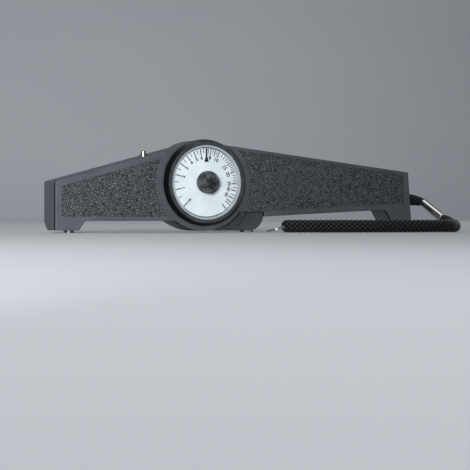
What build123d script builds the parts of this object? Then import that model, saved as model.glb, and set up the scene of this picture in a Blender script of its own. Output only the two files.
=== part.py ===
from build123d import *
import math
import os

os.makedirs("parts", exist_ok=True)

# A magnetic coating thickness gauge: two moulded shells hold a counterbalanced beam with a magnet
# at its left end. Turning the dial wheel winds a spiral spring that lifts the beam, until the magnet
# lets go and the pin pops up.
# All sizes are in mm. The origin is under the middle of the gauge, on the surface that it stands on.
# X runs along the gauge, Y from the front to the back, Z up.

# The housing, seen from the front
left_reach = 86.0
right_reach = 131.35
axis_height = 27.7
left_top_over_axis = 0.4
left_slope = 14.9
right_top_over_axis = 6.6
right_slope = 7.1
end_lean = 2.4
apex_round = 20.0
bump_r = 23.6
ring_r = 26.9
foot_lift = 1.3
left_foot_width = 13.6
left_foot_slant = 3.4
left_belly_height = 6.5
shelf_height = 11.3
shelf_end = 37.4
right_belly_height = 8.7
right_belly_rise = 3.8
right_foot_width = 10.1
right_foot_slant = 7.0
corner_round = 1.2
belly_round = 2.5

# The housing's depth and walls
body_depth = 21.0
cover_depth = 4.5
front_wall = 2.0
back_wall = 2.2
side_wall = 2.0
cavity_floor = 9.2
end_block = 17.9
edge_round = 0.6
back_round = 1.1
face_edge = 0.8
gap_width = 1.6
gap_depth = 2.0
tongue_wall = 1.6
fit_gap = 0.02
running_gap = 0.03

# The grain panels and the lip on the front
panel_recess = 0.5
panel_side_margin = 3.7
panel_top_margin = 3.6
panel_floor_margin = 2.2
right_panel_end_margin = 5.6
right_panel_top_margin = 1.7
right_panel_floor_margin = 3.1
lip_inner_r = 24.8
lip_height = 0.8
lip_margin = 1.2

# The dial, as distances in front of the housing's front face
wheel_gap = 0.5
wheel_rim = 1.6
wheel_shoulder = 5.3
wheel_front = 5.9
bezel_back = 2.6
boss_out = 2.9
plate_thickness = 1.2
pointer_thickness = 0.2
window_thickness = 1.0
window_front = 5.8
window_bevel = 0.35
wheel_edge = 0.5
hub_web = 1.2
hub_height = 3.5
wheel_r = 24.0
wheel_shoulder_r = 22.9
wheel_front_r = 22.5
window_seat_r = 20.6
bezel_inner_r = 19.5
plate_r = 18.95
plate_bore_r = 4.0
boss_r = 8.0
hub_r = 6.2
hub_edge = 0.6
hub_ridge_r = 4.3
spigot_r = 3.0
pointer_tip_r = 18.7
pointer_apex_r = 14.6
pointer_base_r = 11.5
pointer_width = 0.5
triangle_width = 2.3

# The arbor with its bush, washer and collet
arbor_r = 1.5
arbor_end = 4.2
bearing_r = 3.2
bearing_out = 1.9
bearing_in = 2.6
washer_r = 2.9
washer_thickness = 0.4
collet_r = 3.4
collet_front = 7.6
collet_length = 3.0

# The spiral spring and its post
spring_turns = 3
spring_inner_r = 3.9
spring_outer_r = 11.0
spring_strip = 0.35
spring_width = 2.3
spring_front = 7.3
post_r = 0.9
post_front = 7.7

# The beam and what it carries
arm_thickness = 3.0
arm_hub_r = 6.5
arm_left_r = 3.0
arm_right_r = 4.0
magnet_reach = 74.9
arm_left_height = 15.0
weight_reach = 58.0
weight_drop = 1.0
bush_r = 2.5
bush_front = 2.4
bush_back = 2.9
axle_r = 1.5
axle_front = 3.6
axle_in_wall = 1.0
clip_r = 3.0
clip_groove_r = 1.15
clip_thickness = 0.6
clip_gap = 0.2
boss_gap = 0.3
axle_boss_r = 4.5
holder_r = 2.8
holder_bottom = 9.9
holder_top = 17.6
magnet_r = 1.6
magnet_clear = 0.05
magnet_round = 0.7
sleeve_r = 2.9
sleeve_bore_r = 2.4
weight_r = 7.5
weight_width = 13.0
weight_edge = 0.6
weight_slot_gap = 0.1
trim_r = 1.5
trim_depth = 3.0
trim_length = 5.0
trim_head_r = 2.4
trim_head = 1.8
lift_angle = 1.15
stop_from_weight = 16.0
stop_r = 1.5
stop_front = 2.4
stop_gap = 0.1

# The indicator pin
pin_reach = 32.6
pin_forward = 3.0
pin_r = 1.4
pin_stem_r = 0.9
pin_proud = 3.1
pin_head = 5.6
pin_crown = 0.7
pad_width = 4.0
pad_rise = 0.9
pad_thickness = 2.4
pad_gap = 0.1
guide_r = 2.1
guide_proud = 1.3
guide_depth = 2.6
guide_edge = 0.25

# The screws
screw_r = 1.45
screw_tip = 8.6
screw_head_r = 2.7
screw_head = 1.6
screw_head_sunk = 0.4
screw_slot = 0.7
screw_boss_r = 3.2
screw_clearance = 0.08
left_screw_margin = 4.9
left_screw_drop = 5.1
near_left_screw_reach = 42.2
near_left_screw_rise = 6.3
near_left_screw_drop = 15.5
near_right_screw_reach = 37.8
near_right_screw_rise = 10.6
near_right_screw_drop = 12.0
end_screw_margin = 8.5
end_screw_drop = 1.1

# The feet
groove_half = 4.5
bevel_height = 5.9
bevel_depth = 5.8
foot_setback = 1.6
foot_left = 8.0
foot_round = 8.6
foot_floor = 0.9
foot_ledge = 2.4
foot_edge = 0.5
foot_pocket = 1.4
foot_pocket_end = 22.4
foot_pocket_lean = 5.4
foot_pin_reach = 30.8
foot_pin_pair = 6.2
right_pin_margin = 4.9
right_pin_pair = 6.2
contact_r = 1.3
contact_length = 6.0
contact_edge = 0.4
foot_screw_r = 1.2
foot_screw_length = 5.5
foot_screw_head_r = 2.2
foot_screw_head = 1.4
foot_screw_reach = 27.8
foot_screw_pair = 3.2
seat_gap = 0.03

# The strap
strap_height = 18.5
socket_height = 8.4
socket_width = 5.0
socket_depth = 10.0
anchor_depth = 6.5
anchor_r = 1.2
neck_height = 7.4
neck_width = 4.0
neck_bend_r = 8.0
neck_turn = 90.0
neck_slant = 21.0
neck_end_r = 2.2
neck_straight = 1.4
neck_sections = 4
neck_in_ferrule = 8.0
ferrule_r = 2.6
ferrule_length = 24.4
ferrule_bead = 0.3
cord_r = 3.5
cord_floor_gap = 0.1
cord_bend_share = 0.45
cord_route = [
    (113.6, -49.7),
    (101.7, -60.4),
    (82.1, -64.6),
    (56.2, -62.8),
    (31.3, -55.2),
    (7.9, -43.8),
]
ring_wire_r = 0.6
ring_mean_r = 5.7
ring_end_margin = 3.2
ring_hole_gap = 0.25
ring_tilt = 14.5

# Places that follow from the sizes
hub_out = window_front + hub_height
mid_y = hub_out / 2
front_y = mid_y - body_depth / 2
back_y = mid_y + body_depth / 2
seam_y = front_y + cover_depth
inner_back_y = back_y - back_wall
dial_x = (left_reach - right_reach) / 2
left_x = dial_x - left_reach
right_x = dial_x + right_reach
right_top_x = right_x - end_lean
left_rise = math.tan(math.radians(left_slope))
right_fall = math.tan(math.radians(right_slope))
left_top_height = axis_height + left_top_over_axis
right_top_height = axis_height + right_top_over_axis
tops_apart = right_top_height - left_top_height
apex_x = (tops_apart + left_rise * left_x + right_fall * right_top_x) / (left_rise + right_fall)
apex_height = left_top_height + left_rise * (apex_x - left_x)
left_knee_x = left_x + left_foot_width + left_foot_slant
right_knee_x = right_x - right_foot_width - right_foot_slant
shelf_x = dial_x + shelf_end
magnet_x = dial_x - magnet_reach
pin_x = dial_x - pin_reach
pin_y = mid_y - pin_forward
arm_share = pin_reach / magnet_reach
arm_fall = axis_height + arm_hub_r - arm_left_height - arm_left_r
arm_top_z = axis_height + arm_hub_r - arm_fall * arm_share
pad_z = arm_top_z + pad_rise
holder_seat = arm_left_height - arm_left_r - fit_gap
weight_x = dial_x + weight_reach
weight_z = axis_height - weight_drop
stop_x = weight_x - stop_from_weight
stop_share = (stop_x - dial_x) / weight_reach
stop_arm_z = axis_height - weight_drop * stop_share
stop_arm_half = arm_hub_r + (arm_right_r - arm_hub_r) * stop_share
stop_fall = (stop_x - dial_x) * math.sin(math.radians(lift_angle))
stops = [
    (stop_x, stop_arm_z + stop_arm_half + stop_gap + stop_r),
    (stop_x, stop_arm_z - stop_arm_half - stop_gap - stop_fall - stop_r),
]
rim_y = front_y + face_edge + gap_width
foot_front = front_y + foot_setback
foot_back = back_y - foot_setback
foot_end = shelf_x - seat_gap
arbor_front = front_y - hub_out + hub_edge + hub_web
head_y = back_y - screw_head_sunk
clip_back = mid_y - bush_front - clip_gap
spring_pitch = (spring_outer_r - spring_inner_r) / spring_turns
cord_z = cord_r + cord_floor_gap
dial_axis = Axis((dial_x, 0, axis_height), (0, 1, 0))
turning = Plane(origin=(dial_x, 0, axis_height), x_dir=(1, 0, 0), z_dir=(0, 0, 1))


def upright(y):
    """The plane at depth y that faces the front, so an extrusion from it comes forward."""
    return Plane.XZ.offset(-y)


def left_top(x):
    """The height of the left arm's top at x."""
    return left_top_height + left_rise * (x - left_x)


def right_top(x):
    """The height of the right arm's top at x."""
    return right_top_height + right_fall * (right_top_x - x)


def right_belly(x):
    """The height of the right arm's underside at x."""
    share = (x - shelf_x) / (right_knee_x - shelf_x)
    return right_belly_height + right_belly_rise * share


def outline(y, inset=0.0):
    """The housing's outline at depth y, drawn in by inset all round."""
    corners = [
        (left_x, left_top_height),
        (right_top_x, right_top_height),
        (left_x, foot_lift),
        (left_x + left_foot_width, foot_lift),
        (right_x, foot_lift),
        (right_x - right_foot_width, foot_lift),
    ]
    knees = [(left_knee_x, left_belly_height), (right_knee_x, right_belly(right_knee_x))]
    with BuildSketch(upright(y)) as sketch:
        Polygon(
            (left_x, foot_lift),
            (left_x, left_top_height),
            (apex_x, apex_height),
            (right_top_x, right_top_height),
            (right_x, foot_lift),
            (right_x - right_foot_width, foot_lift),
            (right_knee_x, right_belly(right_knee_x)),
            (shelf_x, right_belly_height),
            (shelf_x, shelf_height),
            (dial_x, shelf_height),
            (dial_x, left_belly_height),
            (left_knee_x, left_belly_height),
            (left_x + left_foot_width, foot_lift),
            align=None,
        )
        if inset > 0:
            offset(amount=-inset, kind=Kind.INTERSECTION, mode=Mode.REPLACE)
        fillet(sketch.vertices().sort_by_distance((apex_x, apex_height))[0], radius=apex_round)
        fillet([sketch.vertices().sort_by_distance(knee)[0] for knee in knees], radius=belly_round)
        fillet([sketch.vertices().sort_by_distance(corner)[0] for corner in corners], radius=corner_round)
        with Locations((dial_x, axis_height)):
            Circle(bump_r - inset)
        with BuildLine():
            lower_arc = CenterArc((dial_x, axis_height), ring_r - inset, 180, 180)
            Line(lower_arc @ 1, lower_arc @ 0)
        make_face()
    return sketch.sketch


def under_tops(y, inset):
    """The area under the two arms' tops at depth y, lowered by inset square to each top."""
    left_down = inset / math.cos(math.radians(left_slope))
    right_down = inset / math.cos(math.radians(right_slope))
    top_x = apex_x + (left_down - right_down) / (left_rise + right_fall)
    with BuildSketch(upright(y)) as sketch:
        Polygon(
            (left_x + inset, 0),
            (left_x + inset, left_top(left_x + inset) - left_down),
            (top_x, left_top(top_x) - left_down),
            (right_x - inset, right_top(right_x - inset) - right_down),
            (right_x - inset, 0),
            align=None,
        )
    return sketch.sketch


def under_arms(y, wall):
    """The space over the arms' undersides at depth y, raised by the wall and open at the top."""
    end_x = right_x - end_block
    floor = cavity_floor + wall - side_wall
    with BuildSketch(upright(y)) as sketch:
        Polygon(
            (left_x, floor),
            (left_x, 2 * apex_height),
            (end_x, 2 * apex_height),
            (end_x, right_belly(end_x) + wall),
            (shelf_x + wall, right_belly(shelf_x) + wall),
            (shelf_x + wall, shelf_height + wall),
            (dial_x, shelf_height + wall),
            (dial_x, floor),
            align=None,
        )
    return sketch.sketch


def cavity(y, wall):
    """The space inside a shell with that wall at depth y, without the screw bosses."""
    with BuildSketch(upright(y)) as sketch:
        add(under_tops(y, wall))
        add(under_arms(y, wall), mode=Mode.INTERSECT)
        with Locations((dial_x, axis_height)):
            Circle(bump_r - wall)
        with Locations(*inner_screws):
            Circle(screw_boss_r, mode=Mode.SUBTRACT)
    return sketch.sketch


def pipe_groove(x):
    """The profile of the groove for a pipe, at x."""
    with BuildSketch(Plane.YZ.offset(x)) as sketch:
        Polygon(
            (mid_y - groove_half, 0),
            (mid_y + groove_half, 0),
            (mid_y, groove_half),
            align=None,
        )
    return sketch.sketch


# The screws' places, seen from the front: five in bosses and one in the solid right end
inner_screws = [
    (left_x + left_screw_margin, left_top_height - left_screw_drop),
    (dial_x - near_left_screw_reach, axis_height + near_left_screw_rise),
    (dial_x - near_left_screw_reach, axis_height - near_left_screw_drop),
    (dial_x + near_right_screw_reach, axis_height + near_right_screw_rise),
    (dial_x + near_right_screw_reach, axis_height - near_right_screw_drop),
]
end_screw = (right_x - end_screw_margin, axis_height - end_screw_drop)
all_screws = inner_screws + [end_screw]

# The contact pins' and foot screws' places, seen from above
foot_pins = [(dial_x + foot_pin_reach, mid_y + side * foot_pin_pair) for side in (-1, 1)]
right_pins = [(right_x - right_pin_margin, mid_y + side * right_pin_pair) for side in (-1, 1)]
foot_screws_at = [(dial_x + foot_screw_reach + side * foot_screw_pair, mid_y) for side in (-1, 1)]

# The grain panels' lower and outer edges, and the tops of the indicator pin and its bush
left_panel_x = left_x + panel_side_margin
left_panel_floor = left_belly_height + panel_floor_margin
right_panel_x = right_x - right_panel_end_margin
guide_top = left_top(pin_x) + guide_proud
pin_top = left_top(pin_x) + pin_proud

# The front shell
with BuildPart() as front_housing:
    # The face stands over the tongue, which goes into the rear shell and leaves a shadow gap
    extrude(outline(front_y + face_edge), amount=face_edge)
    fillet(front_housing.faces().sort_by(Axis.Y)[0].edges(), radius=edge_round)
    extrude(outline(seam_y, gap_depth), amount=cover_depth - face_edge)
    # The lip about the dial ends where the housing's top cuts it
    with BuildSketch(upright(front_y + edge_round)):
        add(under_tops(front_y + edge_round, lip_margin))
        with Locations((dial_x, axis_height)):
            Circle(ring_r, mode=Mode.INTERSECT)
            Circle(lip_inner_r, mode=Mode.SUBTRACT)
    extrude(amount=edge_round + lip_height)
    # The boss carries the scale plate and the bush
    with BuildSketch(upright(front_y)):
        with Locations((dial_x, axis_height)):
            Circle(boss_r)
    extrude(amount=boss_out)
    # The two grain panels
    with BuildSketch(upright(front_y + panel_recess)):
        Polygon(
            (left_panel_x, left_panel_floor),
            (dial_x, left_panel_floor),
            (dial_x, left_top(dial_x) - panel_top_margin),
            (left_panel_x, left_top(left_panel_x) - panel_top_margin),
            align=None,
        )
        with Locations((dial_x, axis_height)):
            Circle(ring_r + lip_margin, mode=Mode.SUBTRACT)
    extrude(amount=edge_round, mode=Mode.SUBTRACT)
    with BuildSketch(upright(front_y + panel_recess)):
        Polygon(
            (dial_x, right_belly(dial_x) + right_panel_floor_margin),
            (right_panel_x, right_belly(right_panel_x) + right_panel_floor_margin),
            (right_panel_x, right_top(right_panel_x) - right_panel_top_margin),
            (dial_x, right_top(dial_x) - right_panel_top_margin),
            align=None,
        )
        with Locations((dial_x, axis_height)):
            Circle(ring_r + lip_margin, mode=Mode.SUBTRACT)
    extrude(amount=edge_round, mode=Mode.SUBTRACT)
    # The inside, the bush's bore and the screws' pilot holes
    extrude(cavity(seam_y, gap_depth + tongue_wall), amount=cover_depth - front_wall, mode=Mode.SUBTRACT)
    with BuildSketch(upright(seam_y)):
        with Locations((dial_x, axis_height)):
            Circle(bearing_r + fit_gap)
    extrude(amount=cover_depth + boss_out, mode=Mode.SUBTRACT)
    with BuildSketch(upright(seam_y)):
        with Locations(*all_screws):
            Circle(screw_r + fit_gap)
    extrude(amount=seam_y - mid_y + screw_tip, mode=Mode.SUBTRACT)
    # The right foot's front pin is clamped between the tongue and the rear shell
    with BuildSketch(Plane.XY.offset(contact_length)):
        with Locations(*right_pins):
            Circle(contact_r + fit_gap)
    extrude(amount=-contact_length, mode=Mode.SUBTRACT)
front_housing.part.label = "front_housing"
export_step(front_housing.part, "parts/front_housing.step")

# The rear shell
with BuildPart() as rear_housing:
    extrude(outline(back_y), amount=back_y - rim_y)
    fillet(rear_housing.faces().sort_by(Axis.Y)[-1].edges(), radius=back_round)
    # The rim stands round the front shell's tongue
    extrude(outline(seam_y, gap_depth - fit_gap), amount=seam_y - rim_y, mode=Mode.SUBTRACT)
    # The left foot's lower back edge is bevelled
    with BuildSketch(Plane.YZ.offset(left_x)):
        Polygon(
            (back_y - bevel_depth, 0),
            (back_y + 1, 0),
            (back_y + 1, foot_lift + bevel_height),
            (back_y, foot_lift + bevel_height),
            (back_y - bevel_depth, foot_lift),
            align=None,
        )
    extrude(amount=left_foot_width + left_foot_slant, mode=Mode.SUBTRACT)
    extrude(cavity(inner_back_y, side_wall), amount=inner_back_y - seam_y, mode=Mode.SUBTRACT)
    # The boss for the beam's axle
    with BuildSketch(upright(inner_back_y)):
        with Locations((dial_x, axis_height)):
            Circle(axle_boss_r)
    extrude(amount=inner_back_y - mid_y - bush_back - boss_gap)
    with BuildSketch(upright(inner_back_y + axle_in_wall)):
        with Locations((dial_x, axis_height)):
            Circle(axle_r + fit_gap)
    extrude(amount=inner_back_y + axle_in_wall - mid_y, mode=Mode.SUBTRACT)
    # The screws come in from the back, each in a counterbore
    with BuildSketch(upright(back_y)):
        with Locations(*all_screws):
            Circle(screw_r + screw_clearance)
    extrude(amount=body_depth - cover_depth, mode=Mode.SUBTRACT)
    with BuildSketch(upright(back_y)):
        with Locations(*all_screws):
            Circle(screw_head_r + screw_clearance)
    extrude(amount=screw_head + screw_head_sunk, mode=Mode.SUBTRACT)
    # The beam's stops are pressed into the back wall
    with BuildSketch(upright(inner_back_y + axle_in_wall)):
        with Locations(*stops):
            Circle(stop_r + fit_gap)
    extrude(amount=axle_in_wall, mode=Mode.SUBTRACT)
    # The probe sleeve's bore in the left foot
    with BuildSketch(Plane.XY):
        with Locations((magnet_x, mid_y)):
            Circle(sleeve_r + fit_gap)
    extrude(amount=cavity_floor, mode=Mode.SUBTRACT)
    # The indicator's bush sits in the top of the left arm
    with BuildSketch(Plane.XY.offset(left_top(pin_x) - guide_depth - side_wall)):
        with Locations((pin_x, pin_y)):
            Circle(guide_r + fit_gap)
    extrude(amount=2 * guide_depth + side_wall, mode=Mode.SUBTRACT)
    # The strap's socket and its cross pin
    with BuildSketch(Plane.YZ.offset(right_x - socket_depth)):
        with Locations((mid_y, strap_height)):
            SlotOverall(socket_height, socket_width, rotation=90)
    extrude(amount=socket_depth, mode=Mode.SUBTRACT)
    with BuildSketch(upright(mid_y + socket_width)):
        with Locations((right_x - anchor_depth, strap_height)):
            Circle(anchor_r + fit_gap)
    extrude(amount=mid_y + socket_width - seam_y, mode=Mode.SUBTRACT)
    # The groove along the feet, for a pipe
    extrude(pipe_groove(left_x), amount=left_foot_width + left_foot_slant, mode=Mode.SUBTRACT)
    extrude(pipe_groove(right_knee_x), amount=right_x - right_knee_x, mode=Mode.SUBTRACT)
    # The right foot's contact pins and the centre foot's screws
    with BuildSketch(Plane.XY.offset(contact_length)):
        with Locations(*right_pins):
            Circle(contact_r + fit_gap)
    extrude(amount=-contact_length, mode=Mode.SUBTRACT)
    with BuildSketch(Plane.XY.offset(shelf_height)):
        with Locations(*foot_screws_at):
            Circle(foot_screw_r + screw_clearance)
    extrude(amount=side_wall, mode=Mode.SUBTRACT)
rear_housing.part.label = "rear_housing"
export_step(rear_housing.part, "parts/rear_housing.step")

# The screws between the shells, with a slot in each head
with BuildPart() as housing_screws:
    with BuildSketch(upright(head_y)):
        with Locations(*all_screws):
            Circle(screw_head_r)
    extrude(amount=screw_head)
    with BuildSketch(upright(head_y - screw_head)):
        with Locations(*all_screws):
            Circle(screw_r)
    extrude(amount=head_y - screw_head - mid_y + screw_tip)
    with BuildSketch(upright(head_y)):
        with Locations(*all_screws):
            Rectangle(2 * screw_head_r, screw_slot)
    extrude(amount=screw_head / 2, mode=Mode.SUBTRACT)
housing_screws.part.label = "housing_screws"
export_step(housing_screws.part, "parts/housing_screws.step")

# The centre foot fills the space under the dial's lip and the shelf
with BuildPart() as centre_foot:
    with BuildSketch(upright(foot_back)) as foot_profile:
        Polygon(
            (dial_x + foot_left, foot_floor),
            (foot_end, foot_floor),
            (foot_end, shelf_height - seat_gap),
            (dial_x + foot_left, shelf_height - seat_gap),
            align=None,
        )
        lower_corner = foot_profile.vertices().sort_by_distance((foot_end, foot_floor))[0]
        fillet(lower_corner, radius=foot_round)
        with Locations((dial_x, axis_height)):
            Circle(ring_r + seat_gap, mode=Mode.SUBTRACT)
    extrude(amount=foot_back - foot_front)
    foot_faces = centre_foot.faces().sort_by(Axis.Y)
    chamfer(foot_faces[0].edges() + foot_faces[-1].edges(), length=foot_edge)
    # The front has a pocket between the lip, the ledge at the bottom and a slanting edge
    with BuildSketch(upright(foot_front + foot_pocket)):
        Polygon(
            (dial_x + foot_left, foot_floor + foot_ledge),
            (dial_x + foot_pocket_end, foot_floor + foot_ledge),
            (dial_x + foot_pocket_end + foot_pocket_lean, shelf_height),
            (dial_x + foot_left, shelf_height),
            align=None,
        )
    extrude(amount=2 * foot_pocket, mode=Mode.SUBTRACT)
    extrude(pipe_groove(dial_x + foot_left), amount=shelf_end, mode=Mode.SUBTRACT)
    with BuildSketch(Plane.XY.offset(contact_length)):
        with Locations(*foot_pins):
            Circle(contact_r + fit_gap)
    extrude(amount=-contact_length, mode=Mode.SUBTRACT)
    with BuildSketch(Plane.XY.offset(shelf_height)):
        with Locations(*foot_screws_at):
            Circle(foot_screw_r + fit_gap)
    extrude(amount=-foot_screw_length, mode=Mode.SUBTRACT)
centre_foot.part.label = "centre_foot"
export_step(centre_foot.part, "parts/centre_foot.step")

# The screws that hold the centre foot, put in from inside the rear shell
with BuildPart() as foot_screws:
    with BuildSketch(Plane.XY.offset(shelf_height + side_wall)):
        with Locations(*foot_screws_at):
            Circle(foot_screw_head_r)
    extrude(amount=foot_screw_head)
    with BuildSketch(Plane.XY.offset(shelf_height + side_wall)):
        with Locations(*foot_screws_at):
            Circle(foot_screw_r)
    extrude(amount=-side_wall - foot_screw_length)
foot_screws.part.label = "foot_screws"
export_step(foot_screws.part, "parts/foot_screws.step")

# The hard pins that the gauge stands on, two in each foot
with BuildPart() as contact_pins:
    with BuildSketch(Plane.XY):
        with Locations(*foot_pins, *right_pins):
            Circle(contact_r)
    extrude(amount=contact_length)
    chamfer(contact_pins.faces().filter_by(Axis.Z).group_by(Axis.Z)[0].edges(), length=contact_edge)
contact_pins.part.label = "contact_pins"
export_step(contact_pins.part, "parts/contact_pins.step")

# The sleeve that guides the magnet and stands on the surface
with BuildPart() as probe_sleeve:
    with BuildSketch(Plane.XY):
        with Locations((magnet_x, mid_y)):
            Circle(sleeve_r)
            Circle(sleeve_bore_r, mode=Mode.SUBTRACT)
    extrude(amount=cavity_floor)
probe_sleeve.part.label = "probe_sleeve"
export_step(probe_sleeve.part, "parts/probe_sleeve.step")

# The bush in which the indicator pin slides
with BuildPart() as pin_guide:
    with BuildSketch(Plane.XY.offset(guide_top)):
        with Locations((pin_x, pin_y)):
            Circle(guide_r)
            Circle(pin_r + running_gap, mode=Mode.SUBTRACT)
    extrude(amount=-guide_proud - guide_depth)
    guide_rims = pin_guide.edges().filter_by(GeomType.CIRCLE).group_by(Axis.Z)[-1]
    fillet(guide_rims.sort_by(SortBy.RADIUS)[-1], radius=guide_edge)
pin_guide.part.label = "pin_guide"
export_step(pin_guide.part, "parts/pin_guide.step")

# The brass pin that pops up. Its head fills the bush and its stem ends just over the beam's pad
with BuildPart() as indicator_pin:
    with BuildSketch(Plane.XY.offset(pin_top)):
        with Locations((pin_x, pin_y)):
            Circle(pin_r)
    extrude(amount=-pin_head)
    fillet(indicator_pin.faces().sort_by(Axis.Z)[-1].edges(), radius=pin_crown)
    with BuildSketch(Plane.XY.offset(pad_z + pad_gap)):
        with Locations((pin_x, pin_y)):
            Circle(pin_stem_r)
    extrude(amount=pin_top - pin_head - pad_z - pad_gap)
indicator_pin.part.label = "indicator_pin"
export_step(indicator_pin.part, "parts/indicator_pin.step")

# The wheel that the finger turns, turned about the dial's axis: its skirt flares towards the housing
with BuildPart() as dial_wheel:
    with BuildSketch(turning):
        Polygon(
            (window_seat_r, front_y - wheel_gap),
            (wheel_r, front_y - wheel_gap),
            (wheel_r, front_y - wheel_rim),
            (wheel_shoulder_r, front_y - wheel_shoulder),
            (wheel_front_r, front_y - wheel_front),
            (window_seat_r, front_y - wheel_front),
            align=None,
        )
    revolve(axis=dial_axis)
    outer_edges = dial_wheel.edges().filter_by(GeomType.CIRCLE).group_by(SortBy.RADIUS)
    fillet(outer_edges[-1], radius=wheel_edge)
dial_wheel.part.label = "dial_wheel"
export_step(dial_wheel.part, "parts/dial_wheel.step")

# The white ring in the wheel, under the edge of the window
with BuildPart() as dial_bezel:
    with BuildSketch(upright(front_y - bezel_back)):
        with Locations((dial_x, axis_height)):
            Circle(window_seat_r)
            Circle(bezel_inner_r, mode=Mode.SUBTRACT)
    extrude(amount=window_front - window_thickness - bezel_back)
dial_bezel.part.label = "dial_bezel"
export_step(dial_bezel.part, "parts/dial_bezel.step")

# The clear window
with BuildPart() as dial_window:
    with BuildSketch(upright(front_y - window_front + window_thickness)):
        with Locations((dial_x, axis_height)):
            Circle(window_seat_r)
            Circle(spigot_r, mode=Mode.SUBTRACT)
    extrude(amount=window_thickness)
    window_rim = dial_window.faces().sort_by(Axis.Y)[0].edges().sort_by(SortBy.RADIUS)[-1]
    chamfer(window_rim, length=window_bevel)
dial_window.part.label = "dial_window"
export_step(dial_window.part, "parts/dial_window.step")

# The pointer on the window's underside: a line and a triangle that points outwards
with BuildPart() as pointer:
    with BuildSketch(upright(front_y - window_front + window_thickness + pointer_thickness)):
        with Locations((dial_x, axis_height)):
            with Locations((0, (pointer_tip_r + pointer_base_r) / 2)):
                Rectangle(pointer_width, pointer_tip_r - pointer_base_r)
            Polygon(
                (-triangle_width / 2, pointer_base_r),
                (triangle_width / 2, pointer_base_r),
                (0, pointer_apex_r),
                align=None,
            )
    extrude(amount=pointer_thickness)
pointer.part.label = "pointer"
export_step(pointer.part, "parts/pointer.step")

# The white plate with the scale stays still on the front shell's boss
with BuildPart() as scale_plate:
    with BuildSketch(upright(front_y - boss_out)):
        with Locations((dial_x, axis_height)):
            Circle(plate_r)
            Circle(plate_bore_r, mode=Mode.SUBTRACT)
    extrude(amount=plate_thickness)
scale_plate.part.label = "scale_plate"
export_step(scale_plate.part, "parts/scale_plate.step")

# The button in the middle, with a spigot through the window down to the washer
with BuildPart() as hub_cap:
    with BuildSketch(turning):
        Polygon(
            (arbor_r + fit_gap, front_y - bearing_out - washer_thickness - fit_gap),
            (spigot_r, front_y - bearing_out - washer_thickness - fit_gap),
            (spigot_r, front_y - window_front),
            (hub_r, front_y - window_front),
            (hub_r, front_y - hub_out + hub_edge),
            (hub_r - hub_edge, front_y - hub_out),
            (hub_ridge_r + hub_edge, front_y - hub_out),
            (hub_ridge_r, front_y - hub_out + hub_edge),
            (0, front_y - hub_out + hub_edge),
            (0, front_y - hub_out + hub_edge + hub_web),
            (arbor_r + fit_gap, front_y - hub_out + hub_edge + hub_web),
            align=None,
        )
    revolve(axis=dial_axis)
hub_cap.part.label = "hub_cap"
export_step(hub_cap.part, "parts/hub_cap.step")

# The wheel's shaft
with BuildPart() as dial_arbor:
    with BuildSketch(upright(mid_y - arbor_end)):
        with Locations((dial_x, axis_height)):
            Circle(arbor_r)
    extrude(amount=mid_y - arbor_end - arbor_front)
dial_arbor.part.label = "dial_arbor"
export_step(dial_arbor.part, "parts/dial_arbor.step")

# The shaft's bush, pressed into the front shell
with BuildPart() as front_bearing:
    with BuildSketch(upright(front_y + bearing_in)):
        with Locations((dial_x, axis_height)):
            Circle(bearing_r)
            Circle(arbor_r + running_gap, mode=Mode.SUBTRACT)
    extrude(amount=bearing_in + bearing_out)
front_bearing.part.label = "front_bearing"
export_step(front_bearing.part, "parts/front_bearing.step")

# The washer that brakes the wheel
with BuildPart() as friction_washer:
    with BuildSketch(upright(front_y - bearing_out)):
        with Locations((dial_x, axis_height)):
            Circle(washer_r)
            Circle(arbor_r + running_gap, mode=Mode.SUBTRACT)
    extrude(amount=washer_thickness)
friction_washer.part.label = "friction_washer"
export_step(friction_washer.part, "parts/friction_washer.step")

# The collet on the shaft's inner end
with BuildPart() as spring_collet:
    with BuildSketch(upright(mid_y - collet_front + collet_length)):
        with Locations((dial_x, axis_height)):
            Circle(collet_r)
            Circle(arbor_r + fit_gap, mode=Mode.SUBTRACT)
    extrude(amount=collet_length)
spring_collet.part.label = "spring_collet"
export_step(spring_collet.part, "parts/spring_collet.step")

# The spiral spring, from beside the collet out to its post on the beam: each half circle is half a
# pitch larger than the one before
with BuildPart() as spiral_spring:
    with BuildSketch(upright(mid_y - spring_front + spring_width)):
        with BuildLine():
            for half in range(2 * spring_turns):
                centre = (dial_x + half % 2 * spring_pitch / 2, axis_height)
                middle_r = spring_inner_r + half * spring_pitch / 2
                CenterArc(centre, middle_r + spring_strip / 2, half % 2 * 180, 180)
                CenterArc(centre, middle_r - spring_strip / 2, half % 2 * 180, 180)
            for end_r in (spring_inner_r, spring_outer_r):
                Line(
                    (dial_x + end_r - spring_strip / 2, axis_height),
                    (dial_x + end_r + spring_strip / 2, axis_height),
                )
        make_face()
    extrude(amount=spring_width)
spiral_spring.part.label = "spiral_spring"
export_step(spiral_spring.part, "parts/spiral_spring.step")


def tapered_arm(end, end_r):
    """One arm of the beam, from its hub to a round end, as the hull of two circles."""
    with BuildSketch(upright(mid_y + arm_thickness / 2)) as sketch:
        with Locations((dial_x, axis_height)):
            Circle(arm_hub_r)
        with Locations(end):
            Circle(end_r)
        make_hull()
    return sketch.sketch


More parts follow.
